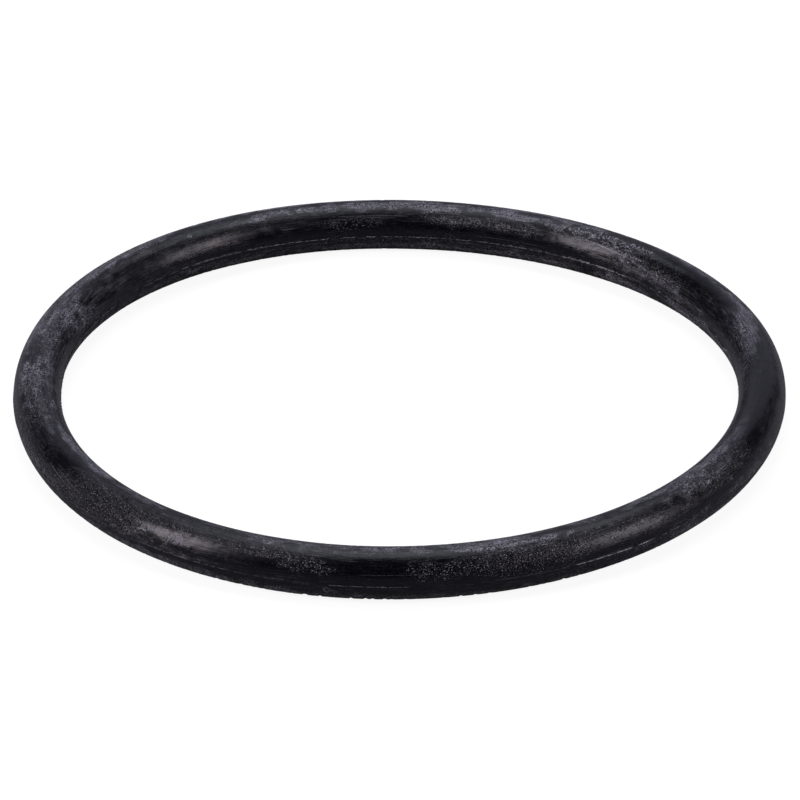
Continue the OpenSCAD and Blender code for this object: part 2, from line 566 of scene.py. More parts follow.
# %% [markdown]
# ## Shader nodes in a few words
# A few short helpers keep the materials readable: one adds a node and fills its sockets, one starts a
# node group with named inputs and outputs, and the rest do sums with sockets.

# %% Node helpers
def add(tree, kind, sockets=None, **settings):
    """Adds a node, applies its settings, and links or fills its input sockets."""
    made = tree.nodes.new(kind)
    for name, value in settings.items():
        setattr(made, name, value)
    for name, value in (sockets or {}).items():
        if isinstance(value, bpy.types.NodeSocket):
            tree.links.new(value, made.inputs[name])
        else:
            made.inputs[name].default_value = value
    return made


def start_group(name, inputs, outputs):
    """A node group whose inputs are names with defaults, and whose outputs are plain numbers."""
    tree = bpy.data.node_groups.new(name, "ShaderNodeTree")
    for label, default in inputs.items():
        socket = tree.interface.new_socket(label, in_out="INPUT", socket_type="NodeSocketFloat")
        socket.default_value = default
    for label in outputs:
        tree.interface.new_socket(label, in_out="OUTPUT", socket_type="NodeSocketFloat")
    entry = tree.nodes.new("NodeGroupInput")
    leave = tree.nodes.new("NodeGroupOutput")
    return tree, entry.outputs, leave.inputs


def calculate(tree, operation, *values):
    """The output of a Math node; values are sockets or numbers."""
    return add(tree, "ShaderNodeMath", dict(enumerate(values)), operation=operation).outputs[0]


def times(tree, first, *others):
    """The product of two or more sockets or numbers."""
    for other in others:
        first = calculate(tree, "MULTIPLY", first, other)
    return first


def ramp(tree, value, slope, start):
    """A straight line: the value times the slope, plus the start."""
    return calculate(tree, "MULTIPLY_ADD", value, slope, start)


def remap(tree, value, low_in, high_in, low_out=0.0, high_out=1.0):
    """A soft step from low_out to high_out, as the value goes from low_in to high_in."""
    limits = {"From Min": low_in, "From Max": high_in, "To Min": low_out, "To Max": high_out}
    step = add(tree, "ShaderNodeMapRange", {"Value": value, **limits}, interpolation_type="SMOOTHSTEP")
    return step.outputs["Result"]


def place(tree, group, sockets):
    """Puts a node group into a tree, fills its inputs, and gives its outputs."""
    return add(tree, "ShaderNodeGroup", sockets, node_tree=group).outputs


def new_tree(owner):
    """The empty node tree of a material or world."""
    owner.use_nodes = True
    owner.node_tree.nodes.clear()
    return owner.node_tree


print("node helpers ready, for Blender", bpy.app.version_string)

# %% [markdown]
# ## Noise that follows the cord
# Mould marks and drag lines run along the cord. A noise in x, y and z can't follow them round the
# bend, and a noise on two angles would show a seam. The two circles stored on the mesh make four
# numbers, and a four-dimensional noise on them follows the cord and closes on itself. Larger
# numbers mean finer noise in that direction.

# %% Group: noise along the cord
def make_cord_noise():
    """Fac is a noise; Along and Across set how fine it is in each direction."""
    inputs = {"Along": 10.0, "Across": 10.0, "Detail": 3.0, "Roughness": 0.5, "Shift": 0.0}
    tree, given, out = start_group("Noise along the cord", inputs, ["Fac"])
    ring = add(tree, "ShaderNodeAttribute", attribute_name="ring_circle").outputs["Vector"]
    section = add(tree, "ShaderNodeAttribute", attribute_name="section_circle").outputs["Vector"]
    ring_xyz = add(tree, "ShaderNodeSeparateXYZ", {"Vector": ring}).outputs
    section_xyz = add(tree, "ShaderNodeSeparateXYZ", {"Vector": section}).outputs
    first = times(tree, ring_xyz["X"], given["Along"])
    second = times(tree, ring_xyz["Y"], given["Along"])
    third = ramp(tree, section_xyz["X"], given["Across"], given["Shift"])
    fourth = ramp(tree, section_xyz["Y"], given["Across"], given["Shift"])
    place_4d = add(tree, "ShaderNodeCombineXYZ", {"X": first, "Y": second, "Z": third}).outputs["Vector"]
    noise = add(tree, "ShaderNodeTexNoise",
                {"Vector": place_4d, "W": fourth, "Scale": 1.0, "Detail": given["Detail"],
                 "Roughness": given["Roughness"]}, noise_dimensions="4D")
    tree.links.new(noise.outputs["Fac"], out["Fac"])
    return tree


cord_noise = make_cord_noise()
print(cord_noise.name, "has", len(cord_noise.nodes), "nodes")

# %% [markdown]
# ## Pits and nibs
# Old rubber is full of tiny pits with raised lips, and of nibs where grains of filler stand out. A
# Voronoi texture has one cell for each, a quarter to a half of a millimetre wide, and the cell's
# random colour decides whether it holds a pit, a nib or nothing. The places are wobbled a little
# first, so that the pits aren't round.

# %% Group: pits and nibs
# soft steps as (from, to), in shares of a pit's radius
DOT_EDGE = (1.0, 0.4)
LIP_OUTSIDE = (1.9, 1.1)
LIP_INSIDE = (1.1, 0.8)
WOBBLE_SCALE = 4000.0
WOBBLE = 0.30 * MM
NIB_SHARE = 0.6
NIB_HEIGHT = 0.9
LIP_HEIGHT = 0.35


def wobbled_place(tree):
    """Object coordinates plus a noise colour, less its middle value, times the wobble."""
    coordinates = add(tree, "ShaderNodeTexCoord").outputs["Object"]
    wobble = add(tree, "ShaderNodeTexNoise", {"Vector": coordinates, "Scale": WOBBLE_SCALE, "Detail": 2.0})
    off = add(tree, "ShaderNodeVectorMath", {0: wobble.outputs["Color"], 1: (0.5, 0.5, 0.5)},
              operation="SUBTRACT").outputs["Vector"]
    off = add(tree, "ShaderNodeVectorMath", {0: off, "Scale": WOBBLE}, operation="SCALE").outputs["Vector"]
    moved = add(tree, "ShaderNodeVectorMath", {0: off, 1: coordinates}, operation="ADD")
    return moved.outputs["Vector"]


def make_pits():
    """Height falls in each pit and rises on each nib; Pit and Nib are 1 inside them."""
    inputs = {"Scale": 3000.0, "Share": 0.5, "Radius": 0.35}
    tree, given, out = start_group("Rubber pits", inputs, ["Height", "Pit", "Nib"])
    somewhere = wobbled_place(tree)
    cells = add(tree, "ShaderNodeTexVoronoi", {"Vector": somewhere, "Scale": given["Scale"]}).outputs
    chance = add(tree, "ShaderNodeSeparateColor", {"Color": cells["Color"]}).outputs
    is_pit = calculate(tree, "LESS_THAN", chance["Red"], given["Share"])
    is_nib = calculate(tree, "LESS_THAN", chance["Green"], NIB_SHARE)
    is_nib = times(tree, calculate(tree, "SUBTRACT", 1.0, is_pit), is_nib)
    inner = calculate(tree, "DIVIDE", cells["Distance"], given["Radius"])
    dot = remap(tree, inner, *DOT_EDGE)
    pit = times(tree, dot, is_pit)
    nib = times(tree, dot, is_nib)
    lip = calculate(tree, "SUBTRACT", remap(tree, inner, *LIP_OUTSIDE), remap(tree, inner, *LIP_INSIDE))
    lip = times(tree, lip, is_pit, LIP_HEIGHT)
    height = calculate(tree, "ADD", calculate(tree, "SUBTRACT", lip, pit), times(tree, nib, NIB_HEIGHT))
    for label, socket in (("Height", height), ("Pit", pit), ("Nib", nib)):
        tree.links.new(socket, out[label])
    return tree


pit_group = make_pits()
print(pit_group.name, "has", len(pit_group.nodes), "nodes")

# %% [markdown]
# ## Scuffs
# Where the skin was rubbed against something rough, the bloom is left as short curved strokes. The
# contour lines of a smooth noise have just that look: the strokes are where the noise passes
# through one value.

# %% Group: scuffs
CONTOUR_STEP = 0.11
CURL = 0.8


def make_scuffs():
    """Stroke is 1 along the contour lines of a distorted noise."""
    tree, given, out = start_group("Scuffs", {"Scale": 1500.0, "Width": 0.03}, ["Stroke"])
    coordinates = add(tree, "ShaderNodeTexCoord").outputs["Object"]
    noise = add(tree, "ShaderNodeTexNoise", {"Vector": coordinates, "Scale": given["Scale"], "Detail": 1.5,
                                             "Distortion": CURL}).outputs["Fac"]
    off_contour = calculate(tree, "PINGPONG", noise, CONTOUR_STEP)
    tree.links.new(remap(tree, off_contour, given["Width"], 0.0), out["Stroke"])
    return tree


scuff_group = make_scuffs()
print(scuff_group.name, "has", len(scuff_group.nodes), "nodes")

# %% [markdown]
# ## Painted glints
# Grains of filler at the skin catch the light as crisp dots of about a tenth of a millimetre. Here
# the glints are painted: each is a pale dot in the colour. Only a few are bright, so each cell's
# random number is squared.

# %% Group: painted glints
# soft step as (from, to), in shares of a dot's radius
GLINT_DOT_EDGE = (1.0, 0.5)


def make_sparks():
    """Painted glint is a tiny pale dot in a share of the cells, each with a brightness of its own."""
    inputs = {"Scale": 6000.0, "Share": 0.3, "Radius": 0.4}
    tree, given, out = start_group("Sparks", inputs, ["Spark"])
    coordinates = add(tree, "ShaderNodeTexCoord").outputs["Object"]
    cells = add(tree, "ShaderNodeTexVoronoi", {"Vector": coordinates, "Scale": given["Scale"]}).outputs
    chance = add(tree, "ShaderNodeSeparateColor", {"Color": cells["Color"]}).outputs
    chosen = calculate(tree, "LESS_THAN", chance["Red"], given["Share"])
    brightness = times(tree, chance["Green"], chance["Green"])
    inner = calculate(tree, "DIVIDE", cells["Distance"], given["Radius"])
    dot = remap(tree, inner, *GLINT_DOT_EDGE)
    tree.links.new(times(tree, dot, times(tree, chosen, brightness)), out["Spark"])
    return tree


spark_group = make_sparks()
print(spark_group.name, "has", len(spark_group.nodes), "nodes")

# %% [markdown]
# ## Fine scratches, loops and bright specks
# The longest scratches are thinner than the squares of the mesh, so the material draws them. One
# group works out the two angles of a point in degrees. Another draws a straight line between two
# places that are given in those angles; a very short one is a bright speck. A third draws an oval
# outline, for a few small marks in the shape of a loop.

# %% Groups: cord angles, drawn line and drawn loop
# soft steps as (from, to), in shares of the half width and of the length
STROKE_EDGE = (1.0, 0.3)
STROKE_END = (0.0, 0.15)


def make_cord_angles():
    """Ring runs from 0 to 360 degrees; Section from -90 at the table over 0, 90 and 180 to 270."""
    tree, given, out = start_group("Cord angles", {}, ["Ring", "Section"])
    for name, label, start in (("ring_circle", "Ring", 0.0), ("section_circle", "Section", -90.0)):
        circle = add(tree, "ShaderNodeAttribute", attribute_name=name).outputs["Vector"]
        spot = add(tree, "ShaderNodeSeparateXYZ", {"Vector": circle}).outputs
        angle = calculate(tree, "DEGREES", calculate(tree, "ARCTAN2", spot["Y"], spot["X"]))
        tree.links.new(calculate(tree, "WRAP", angle, start + 360.0, start), out[label])
    return tree


def make_drawn_line():
    """Line is 1 on a straight line between two places, given by their ring and section angles."""
    inputs = {"Ring": 0.0, "Section": 0.0, "First ring": 0.0, "First section": 0.0, "Last ring": 1.0,
              "Last section": 0.0, "Half width": 1.0}
    tree, given, out = start_group("Drawn line", inputs, ["Line"])
    length = calculate(tree, "SUBTRACT", given["Last ring"], given["First ring"])
    passed = calculate(tree, "SUBTRACT", given["Ring"], given["First ring"])
    share = calculate(tree, "DIVIDE", passed, length)
    rise = calculate(tree, "SUBTRACT", given["Last section"], given["First section"])
    middle = ramp(tree, rise, share, given["First section"])
    off = calculate(tree, "ABSOLUTE", calculate(tree, "SUBTRACT", given["Section"], middle))
    body = remap(tree, calculate(tree, "DIVIDE", off, given["Half width"]), *STROKE_EDGE)
    from_end = calculate(tree, "MINIMUM", share, calculate(tree, "SUBTRACT", 1.0, share))
    tree.links.new(times(tree, body, remap(tree, from_end, *STROKE_END)), out["Line"])
    return tree


def make_drawn_loop():
    """Loop is 1 on an oval outline round a place, given by its ring and section angles."""
    inputs = {"Ring": 0.0, "Section": 0.0, "Middle ring": 0.0, "Middle section": 0.0,
              "Half length": 1.0, "Half width": 10.0, "Thickness": 0.4}
    tree, given, out = start_group("Drawn loop", inputs, ["Loop"])
    on = calculate(tree, "SUBTRACT", given["Ring"], given["Middle ring"])
    on = calculate(tree, "DIVIDE", on, given["Half length"])
    up = calculate(tree, "SUBTRACT", given["Section"], given["Middle section"])
    up = calculate(tree, "DIVIDE", up, given["Half width"])
    squares = ramp(tree, on, on, times(tree, up, up))
    off = calculate(tree, "ABSOLUTE", calculate(tree, "SUBTRACT", calculate(tree, "SQRT", squares), 1.0))
    off = calculate(tree, "DIVIDE", off, given["Thickness"])
    tree.links.new(remap(tree, off, *STROKE_EDGE), out["Loop"])
    return tree


angle_group = make_cord_angles()
line_group = make_drawn_line()
loop_group = make_drawn_loop()
print("drawing groups:", angle_group.name, "-", line_group.name, "-", loop_group.name)

# %% [markdown]
# ## Black rubber: what it is mixed from
# The colour is nearly black, and everything else lies on it in layers. This cell gathers what the
# layers are mixed from: the marks on the mesh, noises that follow the cord, noises that are the same
# in every direction, and the pits, strokes and painted glints of the groups above.

# %% Ingredients of the skin
# drag lines, clouds in the bloom, and the gaps in the torn crest
CORD_NOISES = {
    "drag": {"Along": 16.0, "Across": 28.0, "Detail": 3.0, "Roughness": 0.68},
    "cloud": {"Along": 38.0, "Across": 4.0, "Detail": 6.0, "Roughness": 0.66, "Shift": 7.0},
    "tear": {"Along": 110.0, "Across": 2.0, "Detail": 2.0, "Roughness": 0.6, "Shift": 3.0},
}
# fine speckle, and the lumps of a wrinkled skin
ALL_ROUND_NOISES = {
    "speckle": {"Scale": 5600.0, "Detail": 2.0, "Roughness": 0.6},
    "lumps": {"Scale": 1900.0, "Detail": 2.5, "Roughness": 0.6, "Distortion": 1.2},
}
FINE_PITS = {"Scale": 4600.0, "Share": 0.45, "Radius": 0.40}
COARSE_PITS = {"Scale": 1900.0, "Share": 0.35, "Radius": 0.30}
SCUFF_STROKES = {"Scale": 1500.0, "Width": 0.045}
# painted glints: pale dots in the colour that stand for light on grains of filler
PAINTED_GLINT_DOTS = {"Scale": 7800.0, "Share": 0.50, "Radius": 0.48}
RIPPLE_COUNT = 760.0
# straight line as (slope, start), and soft step as (from, to)
LIVELY_BY_EVEN = (-0.88, 1.0)
STREAK_RANGE = (0.38, 0.64)


def ripples(tree):
    """A wave of RIPPLE_COUNT whole turns round the ring: half its sine plus a half."""
    ring = add(tree, "ShaderNodeAttribute", attribute_name="ring_circle").outputs["Vector"]
    spot = add(tree, "ShaderNodeSeparateXYZ", {"Vector": ring}).outputs
    angle = calculate(tree, "ARCTAN2", spot["Y"], spot["X"])
    return ramp(tree, calculate(tree, "SINE", times(tree, angle, RIPPLE_COUNT)), 0.5, 0.5)


def read_skin(tree):
    """Everything that the layers are mixed from, each as one socket with a plain name."""
    skin = {}
    for name in skin_marks:
        skin[name] = add(tree, "ShaderNodeAttribute", attribute_name=name).outputs["Fac"]
    for name, settings in CORD_NOISES.items():
        skin[name] = place(tree, cord_noise, settings)["Fac"]
    coordinates = add(tree, "ShaderNodeTexCoord").outputs["Object"]
    for name, settings in ALL_ROUND_NOISES.items():
        skin[name] = add(tree, "ShaderNodeTexNoise", {"Vector": coordinates, **settings}).outputs["Fac"]
    skin["fine"] = place(tree, pit_group, FINE_PITS)
    skin["coarse"] = place(tree, pit_group, COARSE_PITS)
    skin["stroke"] = place(tree, scuff_group, SCUFF_STROKES)["Stroke"]
    # painted glints, pale dots in the colour
    skin["spark"] = place(tree, spark_group, PAINTED_GLINT_DOTS)["Spark"]
    skin["rippled"] = times(tree, ripples(tree), skin["ripple"])
    skin["lively"] = ramp(tree, skin["even"], *LIVELY_BY_EVEN)
    skin["streak"] = remap(tree, skin["drag"], *STREAK_RANGE)
    return skin


print("noises of the skin:", ", ".join([*CORD_NOISES, *ALL_ROUND_NOISES]))

# %% [markdown]
# ## Black rubber: scratches
# Only the few longest scratches, loops and specks of the real ring have a place of their own here.
# Their paleness is broken up by the fine speckle, as chalk is on a rough board.

# %% Scratches and loops
# (first ring angle, its section angle, last ring angle, its section angle, half width, paleness)
SCRATCHES = [
    (56.4, 129.5, 46.8, 140.5, 1.7, 0.75), (46.8, 140.5, 40.0, 155.0, 1.5, 0.45),
    (45.5, 179.0, 41.0, 187.0, 1.3, 0.4), (52.5, 97.0, 44.0, 114.0, 1.8, 0.35),
    (88.0, 134.5, 101.0, 133.5, 1.2, 0.3), (90.0, 138.5, 98.0, 138.0, 1.0, 0.25),
    (62.0, 172.0, 77.0, 171.0, 1.0, 0.22), (66.0, 193.0, 82.0, 194.0, 1.1, 0.20),
    (84.0, 206.0, 98.0, 205.0, 1.2, 0.20), (100.0, 197.0, 119.0, 196.0, 1.0, 0.20),
    (207.0, 35.0, 214.5, 22.0, 1.4, 0.40), (209.5, 40.0, 217.5, 26.0, 1.3, 0.30),
    (259.5, -17.0, 260.5, -45.0, 12.0, 0.25), (264.0, 22.0, 276.0, 23.0, 1.0, 0.20),
    (323.6, 50.5, 324.0, 50.5, 1.8, 1.9), (301.6, 91.0, 302.0, 91.0, 2.4, 1.4),
    (302.8, 32.0, 303.2, 32.0, 2.0, 1.2),
]
# (ring angle, section angle, half length, half width, thickness, paleness)
LOOPS = [
    (250.3, 79.0, 0.6, 4.5, 0.45, 0.55), (260.0, -19.0, 0.45, 6.0, 0.5, 0.35),
    (261.1, -24.0, 0.4, 5.0, 0.5, 0.3), (106.8, 107.0, 0.35, 4.0, 0.9, 0.6),
    (127.2, 112.5, 0.3, 3.5, 0.9, 0.5),
]
LINE_LABELS = ["First ring", "First section", "Last ring", "Last section", "Half width"]
LOOP_LABELS = ["Middle ring", "Middle section", "Half length", "Half width", "Thickness"]
# soft step as (from, to, value at from, value at to)
SCRATCH_BREAKS = (0.36, 0.58, 0.25, 1.3)


def draw_scratches(tree, skin):
    """The sum of all drawn lines and loops, each times its paleness, broken up by the speckle."""
    angles = place(tree, angle_group, {})
    here = {"Ring": angles["Ring"], "Section": angles["Section"]}
    scratched = 0.0
    for *values, paleness in SCRATCHES:
        line = place(tree, line_group, {**here, **dict(zip(LINE_LABELS, values))})["Line"]
        scratched = ramp(tree, line, paleness, scratched)
    for *values, paleness in LOOPS:
        loop = place(tree, loop_group, {**here, **dict(zip(LOOP_LABELS, values))})["Loop"]
        scratched = ramp(tree, loop, paleness, scratched)
    return times(tree, scratched, remap(tree, skin["speckle"], *SCRATCH_BREAKS))


print(len(SCRATCHES), "scratches and specks,", len(LOOPS), "loops")

# %% [markdown]
# ## Black rubber: the film of bloom and painted sheen
# The bloom mark says where chalk lies, and where pale film is painted on the lamp highlights and the
# lower walls as painted highlight and painted reflection. Clouds make it patchy, drag lines streak it,
# and then speckle, lumps, pits, scuffs and ripples break it up. Each of these is a factor, near 1
# where it does nothing, so they can be added or taken out one at a time.

# %% Film of bloom and painted sheen
# straight lines as (slope, start)
CLOUDINESS = (1.4, -0.75)
FILM_BY_CLEAN = (-0.92, 1.0)
FILM_BY_STREAK = (0.9, 0.45)
FILM_BY_PITS = (-0.8, 1.0)
FILM_BY_STROKE = (3.1, -0.04)
FILM_BY_RIPPLE = (-0.8, 1.0)
GRIT_BY_GRAIN = (0.60, 0.55)
GRIT_BY_SCUFF = (-0.65, 1.0)
# soft steps as (from, to, value at from, value at to)
FILM_RANGE = (0.0, 1.0, 0.018, 1.0)
SPECKLE_RANGE = (0.43, 0.58, -1.05, 1.75)
LUMP_RANGE = (0.42, 0.58, -0.85, 1.0)


def film_factors(tree, skin):
    """What speckle and lumps do to the film: 1 plus each of them times its strength."""
    grit = times(tree, ramp(tree, skin["grain"], *GRIT_BY_GRAIN), skin["lively"],
                 ramp(tree, skin["scuff"], *GRIT_BY_SCUFF))
    gritty = ramp(tree, remap(tree, skin["speckle"], *SPECKLE_RANGE), grit, 1.0)
    lumpy = ramp(tree, remap(tree, skin["lumps"], *LUMP_RANGE), skin["wrinkle"], 1.0)
    return gritty, lumpy


def spread_film_and_sheen(tree, skin):
    """How much chalk and painted sheen lie on each point: marks and clouds, times all that thins them."""
    cloudiness = times(tree, ramp(tree, skin["cloud"], *CLOUDINESS), skin["lively"])
    # the bloom mark brings in the painted sheen too: pale film on the lamp highlights and the lower walls
    film_and_sheen = remap(tree, calculate(tree, "ADD", skin["bloom_and_sheen"], cloudiness), *FILM_RANGE)
    film_and_sheen = times(tree, film_and_sheen, ramp(tree, skin["clean"], *FILM_BY_CLEAN))
    film_and_sheen = times(tree, film_and_sheen, ramp(tree, skin["streak"], *FILM_BY_STREAK))
    film_and_sheen = times(tree, film_and_sheen, *film_factors(tree, skin))
    pitted = calculate(tree, "MAXIMUM", skin["fine"]["Pit"], skin["coarse"]["Pit"])
    film_and_sheen = times(tree, film_and_sheen, ramp(tree, pitted, *FILM_BY_PITS))
    stroked = times(tree, film_and_sheen, ramp(tree, skin["stroke"], *FILM_BY_STROKE))
    film_and_sheen = add(tree, "ShaderNodeMix", {"Factor": skin["scuff"], "A": film_and_sheen, "B": stroked}).outputs["Result"]
    return times(tree, film_and_sheen, ramp(tree, skin["rippled"], *FILM_BY_RIPPLE))


print("film where there is no bloom:", FILM_RANGE[2])

# %% [markdown]
# ## Black rubber: colour
# The film with its painted sheen, dust on the nibs, painted glints, drag lines and scratches add up
# to one paleness, which mixes black with grey. The torn crest of the flash is paler than any bloom,
# and it is partly a painted glint on the fin. It is broken into dashes by the tear noise.

# %% Colour of the skin
RUBBER_BLACK = (0.0018, 0.0019, 0.0036, 1)
# grey of bloom, dust and drag lines, which also colours the painted sheen and the painted glints
BLOOM_AND_SHEEN_GREY = (0.202, 0.200, 0.227, 1)
# torn rubber of the flash crest, painted paler still as a glint of light along the fin
TORN_AND_GLINT_GREY = (0.66, 0.67, 0.72, 1)
FILM_PALENESS = 0.60
PALEST = 1.5
UNBROKEN_BY_FLASH = 0.5
# straight lines as (slope, start)
DUST_BY_GRAIN = (0.15, 0.02)
GLINT_BY_GRAIN = (1.9, 0.12)
LINE_BY_CLEAN = (-0.8, 1.0)
# soft steps as (from, to, value at from, value at to)
LINE_RANGE = (0.53, 0.66, 0.0, 1.0)
LINE_BY_CLOUD = (0.35, 0.62, 0.03, 0.28)
TEAR_RANGE = (0.40, 0.60, 0.0, 1.2)


def total_paleness(tree, skin, film_and_sheen):
    """Film with painted sheen, dust, painted glints, drag lines and scratches, added up and kept below
    PALEST.
    """
    dust_and_glints = times(tree, skin["fine"]["Nib"], ramp(tree, skin["grain"], *DUST_BY_GRAIN))
    glint = times(tree, ramp(tree, skin["grain"], *GLINT_BY_GRAIN), skin["lively"])
    # painted glints: the sparks are pale dots in the colour, and from here the dust sum also holds them
    dust_and_glints = ramp(tree, skin["spark"], glint, dust_and_glints)
    line = times(tree, remap(tree, skin["drag"], *LINE_RANGE), remap(tree, skin["cloud"], *LINE_BY_CLOUD),
                 ramp(tree, skin["clean"], *LINE_BY_CLEAN))
    line = ramp(tree, line, skin["lively"], draw_scratches(tree, skin))
    pale = calculate(tree, "ADD", times(tree, film_and_sheen, FILM_PALENESS), calculate(tree, "ADD", dust_and_glints, line))
    return calculate(tree, "MINIMUM", pale, PALEST)


def skin_colour(tree, skin, film_and_sheen):
    """Black mixed with grey by the paleness, then with the torn grey and its painted glint on the flash."""
    pale = total_paleness(tree, skin, film_and_sheen)
    colour = add(tree, "ShaderNodeMix", {"Factor": pale, "A": RUBBER_BLACK, "B": BLOOM_AND_SHEEN_GREY},
                 data_type="RGBA", clamp_factor=False).outputs["Result"]
    # painted glint: the flash mixes in the torn grey, which stands partly for light on the fin
    unbroken = ramp(tree, skin["flash"], UNBROKEN_BY_FLASH, remap(tree, skin["tear"], *TEAR_RANGE))
    torn_and_glint_share = times(tree, skin["flash"], unbroken)
    return add(tree, "ShaderNodeMix", {"Factor": torn_and_glint_share, "A": colour, "B": TORN_AND_GLINT_GREY},
               data_type="RGBA").outputs["Result"]


print("bloom is", round(BLOOM_AND_SHEEN_GREY[0] / RUBBER_BLACK[0]), "times as bright as the rubber")

# %% [markdown]
# ## Black rubber: relief
# Bump adds what the mesh is too coarse to hold. The first bump is grain, pits, ripples and lumps, a
# few hundredths of a millimetre deep. The second, on top of it, is the drag lines and clouds.

# %% Relief of the skin
GRAIN_RELIEF = 0.026 * MM
DRAG_RELIEF = 0.032 * MM
COARSE_PIT_SHARE = 1.5
RIPPLE_SHARE = 0.6
LUMP_SHARE = 13.0
CLOUD_SHARE = 0.6
# straight lines as (slope, start)
PITS_BY_GRAIN = (1.0, 0.05)
SPECKLE_BY_GRAIN = (2.2, 0.3)
DRAG_BY_CLEAN = (-0.5, 1.0)


def relief(tree, skin):
    """The normal of two bumps in a row: grain with pits and lumps first, drag lines second."""
    pit_depth = ramp(tree, skin["coarse"]["Height"], COARSE_PIT_SHARE, skin["fine"]["Height"])
    pit_depth = times(tree, pit_depth, ramp(tree, skin["grain"], *PITS_BY_GRAIN), skin["lively"])
    grainy = times(tree, skin["speckle"], ramp(tree, skin["grain"], *SPECKLE_BY_GRAIN), skin["lively"])
    height = calculate(tree, "ADD", grainy, pit_depth)
    height = calculate(tree, "ADD", height, times(tree, skin["rippled"], RIPPLE_SHARE))
    wrinkled = times(tree, skin["wrinkle"], skin["lively"])
    height = ramp(tree, times(tree, skin["lumps"], LUMP_SHARE), wrinkled, height)
    first = add(tree, "ShaderNodeBump", {"Height": height, "Distance": GRAIN_RELIEF}).outputs["Normal"]
    drag = calculate(tree, "ADD", skin["drag"], times(tree, skin["cloud"], CLOUD_SHARE))
    drag = times(tree, drag, skin["lively"], ramp(tree, skin["clean"], *DRAG_BY_CLEAN))
    second = add(tree, "ShaderNodeBump", {"Height": drag, "Distance": DRAG_RELIEF, "Normal": first})
    return second.outputs["Normal"]


print(f"bumps: {GRAIN_RELIEF / MM:.3f} mm for grain and {DRAG_RELIEF / MM:.3f} mm for drag lines")

# %% [markdown]
# ## Black rubber: the finished material
# Chalk scatters light, so the skin is rougher under the film and in the streaks, and glossier where
# it was rubbed. The specular level is the same all over, so it is set on the shader itself.

# %% Rubber material
RUBBER_SPECULAR = 0.27
RUBBER_ROUGHNESS = 0.24
ROUGHNESS_OF_FILM = 0.11
ROUGHNESS_OF_STREAK = 0.05
ROUGHNESS_OF_CLEAN = -0.06


def make_rubber():
    """Black rubber with chalk, painted sheen, painted glints, drag lines, pits, scratches and a torn flash.
    """
    material = bpy.data.materials.new("black_rubber")
    tree = new_tree(material)
    skin = read_skin(tree)
    film_and_sheen = spread_film_and_sheen(tree, skin)
    rough = ramp(tree, film_and_sheen, ROUGHNESS_OF_FILM, RUBBER_ROUGHNESS)
    rough = ramp(tree, skin["streak"], ROUGHNESS_OF_STREAK, rough)
    rough = ramp(tree, skin["clean"], ROUGHNESS_OF_CLEAN, rough)
    shader = add(tree, "ShaderNodeBsdfPrincipled",
                 {"Base Color": skin_colour(tree, skin, film_and_sheen), "Roughness": rough,
                  "Normal": relief(tree, skin), "Specular IOR Level": RUBBER_SPECULAR})
    add(tree, "ShaderNodeOutputMaterial", {"Surface": shader.outputs["BSDF"]}, target="ALL")
    return material


rubber = make_rubber()
cord.data.materials.append(rubber)
print(rubber.name, "has", len(rubber.node_tree.nodes), "nodes")

# %% Sweep
SWEEP_HALF_WIDTH = 0.9
SWEEP_FRONT = -1.6
SWEEP_BEND_START = 1.10
SWEEP_BEND_R = 0.30
SWEEP_HEIGHT = 0.90
SWEEP_BEND_POINTS = 24


def sweep_profile(count):
    """Points of the sweep seen from the side: flat, a quarter circle, then upright."""
    bend = np.linspace(0, np.pi / 2, count)
    bend_y = SWEEP_BEND_START + SWEEP_BEND_R * np.sin(bend)
    bend_z = SWEEP_BEND_R * (1 - np.cos(bend))
    along = np.concatenate([[SWEEP_FRONT], bend_y, [SWEEP_BEND_START + SWEEP_BEND_R]])
    up = np.concatenate([[0.0], bend_z, [SWEEP_BEND_R + SWEEP_HEIGHT]])
    return along, up


def make_sweep():
    """The profile carried from the left edge to the right edge."""
    along, up = sweep_profile(SWEEP_BEND_POINTS)
    count = len(along)
    left = np.stack([np.full(count, -SWEEP_HALF_WIDTH), along, up], axis=-1)
    right = np.stack([np.full(count, SWEEP_HALF_WIDTH), along, up], axis=-1)
    step = np.arange(count - 1)
    quads = np.stack([step, step + count, step + count + 1, step + 1], axis=-1)
    return mesh_from("paper_sweep", np.concatenate([left, right]), quads)


sweep = make_sweep()

# %% [markdown]
# ## White paper that throws little light
# Its own paint is a light grey, so that it throws little light on the ring's dark underside and keeps
# the ring's soft shadow. To the camera a glow lifts it to white. In reflections only a share of that
# white is seen, small on the table and larger up the wall, and none close under the ring, because
# black rubber would otherwise look grey.

# %% Paper material
WHITE = (1, 1, 1, 1)
PAPER_GREY = (0.20, 0.20, 0.20, 1)
PAPER_LIFT = 0.90
# soft step by height: (from, to, share on the table, share up on the wall)
MIRRORED_BY_HEIGHT = (0.05, 0.45, 0.11, 0.38)
MIRRORED_TINT = (0.96, 0.945, 1.20, 1)
CONTACT_SHADE_REACH = 0.020
CONTACT_SHADE_SAMPLES = 4


def seen_rays(tree):
    """1 for rays from the camera, and a share for mirrored or refracted rays, less the contact shade."""
    path = add(tree, "ShaderNodeLightPath").outputs
    mirrored = calculate(tree, "MAXIMUM", path["Is Glossy Ray"], path["Is Transmission Ray"])
    open_sky = add(tree, "ShaderNodeAmbientOcclusion", {"Distance": CONTACT_SHADE_REACH},
                   samples=CONTACT_SHADE_SAMPLES).outputs["AO"]
    place_xyz = add(tree, "ShaderNodeTexCoord").outputs["Object"]
    height = add(tree, "ShaderNodeSeparateXYZ", {"Vector": place_xyz}).outputs["Z"]
    mirrored = times(tree, mirrored, times(tree, open_sky, remap(tree, height, *MIRRORED_BY_HEIGHT)))
    return calculate(tree, "MAXIMUM", path["Is Camera Ray"], mirrored)


